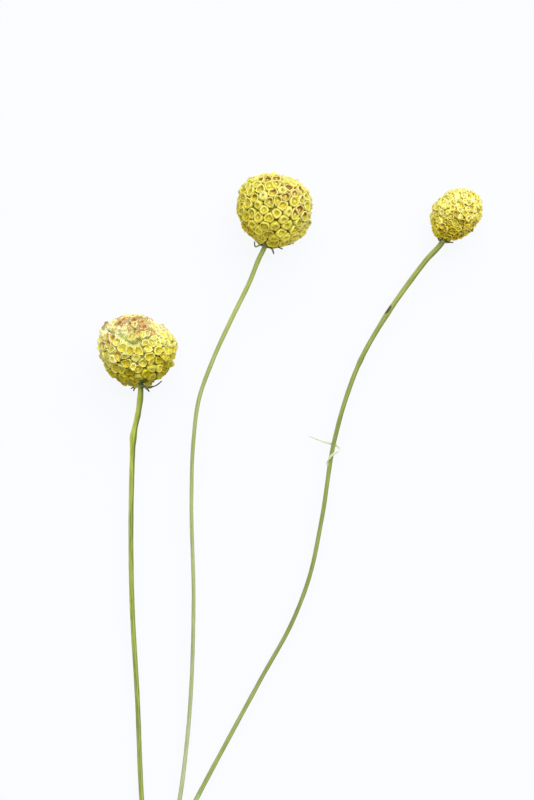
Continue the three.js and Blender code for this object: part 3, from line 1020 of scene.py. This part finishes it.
def tubes(head, florets, mean_pitch, random):
    """The florets of a head, as a part for make_piece. A floret's rings are those of a bud, moved
    towards those of a cup by how far it has opened. A point of a ring lies on one of the floret's
    arms, at the ring's share of the rim's reach there, and at the ring's height on its axis."""
    places, sizes, mouths, axes, dent, painted_light = seated(head, florets, random)
    count = len(places)
    pitch = mean_pitch * sizes
    sideways = unit(np.cross(axes, ASKEW))
    upwards = np.cross(axes, sideways)
    turn = np.linspace(0, 2 * np.pi, FLORET_SIDES, endpoint=False)
    turned = turn + random.uniform(0, 2 * np.pi, (count, 1))
    arms = np.cos(turned)[..., None] * sideways[:, None] + np.sin(turned)[..., None] * upwards[:, None]
    mean_open, towards_tip = florets["open"]
    dry = graded(places, florets["dry"], random)
    opened = mean_open + towards_tip * places[:, 1] + DRY_OPENS * dry
    opened = np.clip(opened + random.normal(0, OPEN_SPREAD, count), 0, 1)
    rims = rim_radii(mouths, axes, arms, pitch * random.uniform(*florets["widest"], count))
    lobes = LOBE_HEIGHTS[:, None] * np.cos(LOBES * turn)
    uneven = florets["wavy"] * random.normal(0, 1, (count, 1, FLORET_SIDES)) * (LOBE_HEIGHTS > 0)[:, None]
    rings = BUD + opened[:, None, None] * (CUP - BUD)
    rings[:, 0, 1] -= dent / pitch
    reach = rings[..., :1] * rims[:, None] * (1 + LOBE_REACH * lobes)
    rise = pitch[:, None, None] * (rings[..., 1:] + lobes + uneven)
    grid = mouths[:, None, None] + reach[..., None] * arms[:, None] + rise[..., None] * axes[:, None, None]
    styled = (random.uniform(size=count) < florets["styles"]) & (opened > STYLED_FROM)
    floor = np.where(styled, STYLE_TIP, BUD_TOP + opened * (CUP_FLOOR - BUD_TOP)) * pitch
    along = ALONG_BUD + opened[:, None] * (ALONG_CUP - ALONG_BUD)
    floor_along = np.where(styled, STYLE_ALONG, TOP_ALONG + opened * (FLOOR_ALONG - TOP_ALONG))
    # The gold deepens towards the stalk, partly as the older florets' own colour and partly as painted
    # shade.
    gold = graded(places, florets["gold"], random)
    # The tone along the head is painted light and shade, with a random tone of each floret's own.
    tone = np.interp(places[:, 1], (-1, 0, 1), florets["tone"]) + random.normal(0, TONE_SPREAD, count)
    # Painted shade darkens the walls with the gold, and painted light lightens them in a parting.
    wall_tone = (tone * (1 - GOLD_WALL_SHADE * gold) + painted_light)[:, None, None]
    # Painted shade: the inside of a cup is darker and browner on the side towards the head's tip.
    tip_side = INNER[:, None] * arms[:, None, :, 1]
    rim_tone = tone[:, None, None] * (1 - TIP_SHADE * tip_side)
    shape = (count, len(CUP), FLORET_SIDES)
    return {
        "points": closed(
            placed(head, grid),
            placed(head, mouths + (pitch * rings[:, 0, 1])[:, None] * axes),
            placed(head, mouths + floor[:, None] * axes),
        ),
        "rings": len(CUP),
        "sides": FLORET_SIDES,
        "values": {
            "along": closed(np.broadcast_to(along[..., None], shape), 0, floor_along),
            "dry": closed(np.clip(dry[:, None, None] * (1 + TIP_BROWN_SHADE * tip_side), 0, 1), dry, dry),
            "tone": closed(rim_tone + WALL[:, None] * (wall_tone - rim_tone), tone, tone),
            "gold": closed(np.broadcast_to(gold[:, None, None], shape), gold, gold),
        },
    }


def core(head, florets, mean_pitch):
    """The core of a head, as a part for make_piece: rings round the stalk's line, at the head's
    outline less the depth of the core under it and the dent of a parting."""
    polar = np.linspace(np.pi, 0, CORE_RINGS + 2)[1:-1, None]
    circle = np.linspace(0, 2 * np.pi, CORE_SIDES, endpoint=False)
    directions = np.stack([
        np.sin(polar) * np.cos(circle),
        np.broadcast_to(np.cos(polar), (CORE_RINGS, CORE_SIDES)),
        -np.sin(polar) * np.sin(circle),
    ], -1)
    depth = CORE_DEPTH * mean_pitch + SUNK
    radii = surface(head, directions) - depth
    # Painted shade darkens the core towards the stalk, and painted light lightens it in a parting.
    tone = florets["core"] + CORE_DARKER * np.minimum(directions[..., 1], 0)
    gold = np.full(tone.shape, CORE_GOLD)
    if florets["parting"]:
        in_it, _ = in_parting(florets["parting"], directions)
        radii = radii - florets["parting"]["dent"] * in_it
        tone = tone + CORE_LIGHTER * in_it
        gold = gold * (1 - in_it)
    tip = np.array([0, surface(head, np.array([0, 1, 0])) - depth, 0])
    grid = placed(head, directions * radii[..., None])
    plain = np.ones((1, CORE_RINGS, CORE_SIDES))
    return {
        "points": closed(grid[None], placed(head, -tip), placed(head, tip)),
        "rings": CORE_RINGS,
        "sides": CORE_SIDES,
        "values": {
            "along": closed(CORE_ALONG * plain, CORE_ALONG, CORE_ALONG),
            "dry": closed(0 * plain, 0, 0),
            "tone": closed(tone[None], CORE_FOOT, florets["core"]),
            "gold": closed(gold[None], CORE_GOLD, CORE_GOLD),
        },
    }


for name, florets in FLORETS.items():
    head = HEADS[name]
    random = np.random.default_rng(florets["seed"])
    mean_pitch = np.sqrt(4 * np.pi / florets["count"]) * (head["long"] + head["short"] + head["across"]) / 6
    skin = floret_skin(
        f"{florets['slot']}_tissue",
        florets["gold_colour"],
        florets["fresh"],
        florets["dried"],
        florets["specks"],
    )
    parts = [tubes(head, florets, mean_pitch, random), core(head, florets, mean_pitch)]
    make_piece(f"{name}_florets", parts, skin, f"{name}_head_florets")


# Table, light and camera
# A plain white panel, lit from below so that shadows on it stay faint, under a wide soft light from
# above, beyond the heads and a little to the right, and a camera that looks straight down.

PIXEL = 0.17  # mm on the plant
PHOTO_HIGH = 800  # pixels
FRAME_MIDDLE = (-4.0, 30.3)
CAMERA_HEIGHT = 700
PLANT_HEIGHT = 4  # of the stalks, which the frame is measured at
SENSOR = 36
PANEL_HALF = 1500
PANEL_DROP = 0.02  # how far it lies below the florets
PANEL_COLOUR = (0.06, 0.06, 0.06, 1)
PANEL_GLOW = (0.962, 0.971, 1, 1)
PANEL_STRENGTH = 0.932
ROOM_STRENGTH = 0.42
LAMP_WIDE = 1.1  # radians
LAMP_STRENGTH = 2.9
LAMP_TOWARDS = (-0.18, -0.54, -0.82)

corners = [(x * PANEL_HALF, y * PANEL_HALF, -PANEL_DROP) for x, y in ((-1, -1), (1, -1), (1, 1), (-1, 1))]
table_top = bpy.data.meshes.new("table")
table_top.from_pydata((np.array(corners) * MM).tolist(), [], [(0, 1, 2, 3)])
table = bpy.data.objects.new("table", table_top)
bpy.context.scene.collection.objects.link(table)
paper = bpy.data.materials.new("lit_white_panel")
paper.use_nodes = True
paper_shader = paper.node_tree.nodes["Principled BSDF"]
paper_shader.inputs["Base Color"].default_value = PANEL_COLOUR
paper_shader.inputs["Roughness"].default_value = 0.9
paper_shader.inputs["Specular IOR Level"].default_value = 0.0
paper_shader.inputs["Emission Color"].default_value = PANEL_GLOW
paper_shader.inputs["Emission Strength"].default_value = PANEL_STRENGTH
table_top.materials.append(paper)

scene = bpy.context.scene
world = bpy.data.worlds.new("soft_room")
world.use_nodes = True
scene.world = world
world.node_tree.nodes["Background"].inputs["Color"].default_value = (1, 1, 1, 1)
world.node_tree.nodes["Background"].inputs["Strength"].default_value = ROOM_STRENGTH

lamp = bpy.data.lights.new("window", "SUN")
lamp.angle = LAMP_WIDE
lamp.energy = LAMP_STRENGTH
window = bpy.data.objects.new("window", lamp)
window.rotation_mode = "QUATERNION"
window.rotation_quaternion = Vector(LAMP_TOWARDS).to_track_quat("-Z", "Y")
scene.collection.objects.link(window)

lens = bpy.data.cameras.new("camera")
lens.sensor_width = SENSOR
lens.lens = SENSOR * (CAMERA_HEIGHT - PLANT_HEIGHT) / (PHOTO_HIGH * PIXEL)
lens.clip_end = 10
camera = bpy.data.objects.new("camera", lens)
camera.location = (FRAME_MIDDLE[0] * MM, FRAME_MIDDLE[1] * MM, CAMERA_HEIGHT * MM)
scene.collection.objects.link(camera)
scene.camera = camera
scene.view_settings.view_transform = "Standard"
